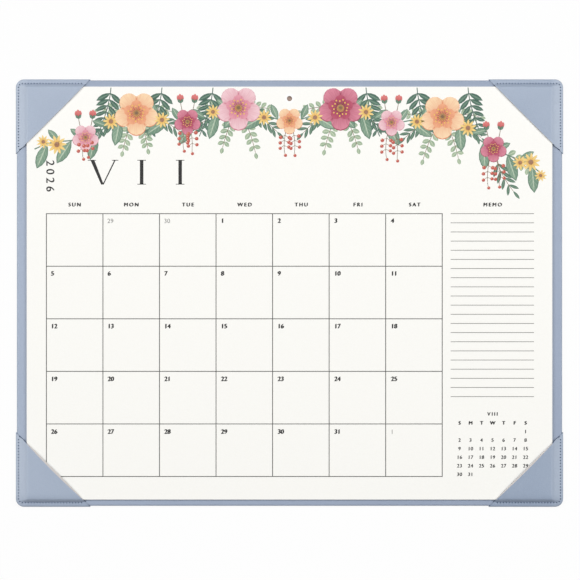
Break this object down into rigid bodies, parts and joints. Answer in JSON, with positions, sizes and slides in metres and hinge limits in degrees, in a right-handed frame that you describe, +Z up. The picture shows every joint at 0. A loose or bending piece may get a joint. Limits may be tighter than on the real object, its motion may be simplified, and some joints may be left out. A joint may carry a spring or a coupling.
{
  "type": "desk pad calendar",
  "caption": "Monthly desk pad calendar with a flower border, held by four corner pockets in a light blue leatherette holder.",
  "frame": {"origin": "middle of the holder's outline, on the surface that it lies on", "axes": "+X across the page to the right, +Y towards the top edge of the page, +Z up out of the page"},
  "size_m": [0.5608, 0.438, 0.0105],
  "materials": {
    "leatherette": "satin",
    "lining": "matte",
    "chipboard": "matte",
    "paper": "matte",
    "white_ink": "matte",
    "grey_ink": "matte",
    "pale_ink": "matte",
    "green_ink": "matte",
    "pink_ink": "matte",
    "peach_ink": "matte",
    "rose_ink": "matte",
    "mustard_ink": "matte",
    "dark_green_ink": "matte"
  },
  "bodies": {
    "root": {"holder_cover": "leatherette", "holder_board": "chipboard", "underside_lining": "lining", "pocket_top_left": "leatherette", "pocket_top_right": "leatherette", "pocket_bottom_left": "leatherette", "pocket_bottom_right": "leatherette", "chipboard_backing": "chipboard", "page_block": "paper", "print_day_grid": "grey_ink", "print_note_line_01": "pale_ink", "print_note_line_02": "pale_ink", "print_note_line_03": "pale_ink", "print_note_line_04": "pale_ink", "print_note_line_05": "pale_ink", "print_note_line_06": "pale_ink", "print_note_line_07": "pale_ink", "print_note_line_08": "pale_ink", "print_note_line_09": "pale_ink", "print_note_line_10": "pale_ink", "print_note_line_11": "pale_ink", "print_note_line_12": "pale_ink", "print_note_line_13": "pale_ink", "print_note_line_14": "pale_ink", "print_note_line_15": "pale_ink", "print_note_line_16": "pale_ink", "print_note_line_17": "pale_ink", "print_note_line_18": "pale_ink", "print_note_line_19": "pale_ink", "print_note_line_20": "pale_ink", "print_note_line_21": "pale_ink", "print_hole_ring": "white_ink", "print_garland_left": "green_ink", "print_garland_right": "green_ink", "print_frond_left_1": "dark_green_ink", "print_frond_right_1": "dark_green_ink", "print_frond_left_2": "dark_green_ink", "print_frond_right_2": "dark_green_ink", "print_frond_left_3": "dark_green_ink", "print_frond_right_3": "dark_green_ink", "print_blossom_01": "pink_ink", "print_blossom_eye_01": "mustard_ink", "print_blossom_02": "peach_ink", "print_blossom_eye_02": "mustard_ink", "print_blossom_03": "rose_ink", "print_blossom_eye_03": "mustard_ink", "print_blossom_04": "pink_ink", "print_blossom_eye_04": "mustard_ink", "print_blossom_05": "peach_ink", "print_blossom_eye_05": "mustard_ink", "print_blossom_06": "rose_ink", "print_blossom_eye_06": "mustard_ink", "print_blossom_07": "pink_ink", "print_blossom_eye_07": "mustard_ink", "print_blossom_08": "peach_ink", "print_blossom_eye_08": "mustard_ink", "print_blossom_09": "rose_ink", "print_blossom_eye_09": "mustard_ink"}
  },
  "joints": []
}
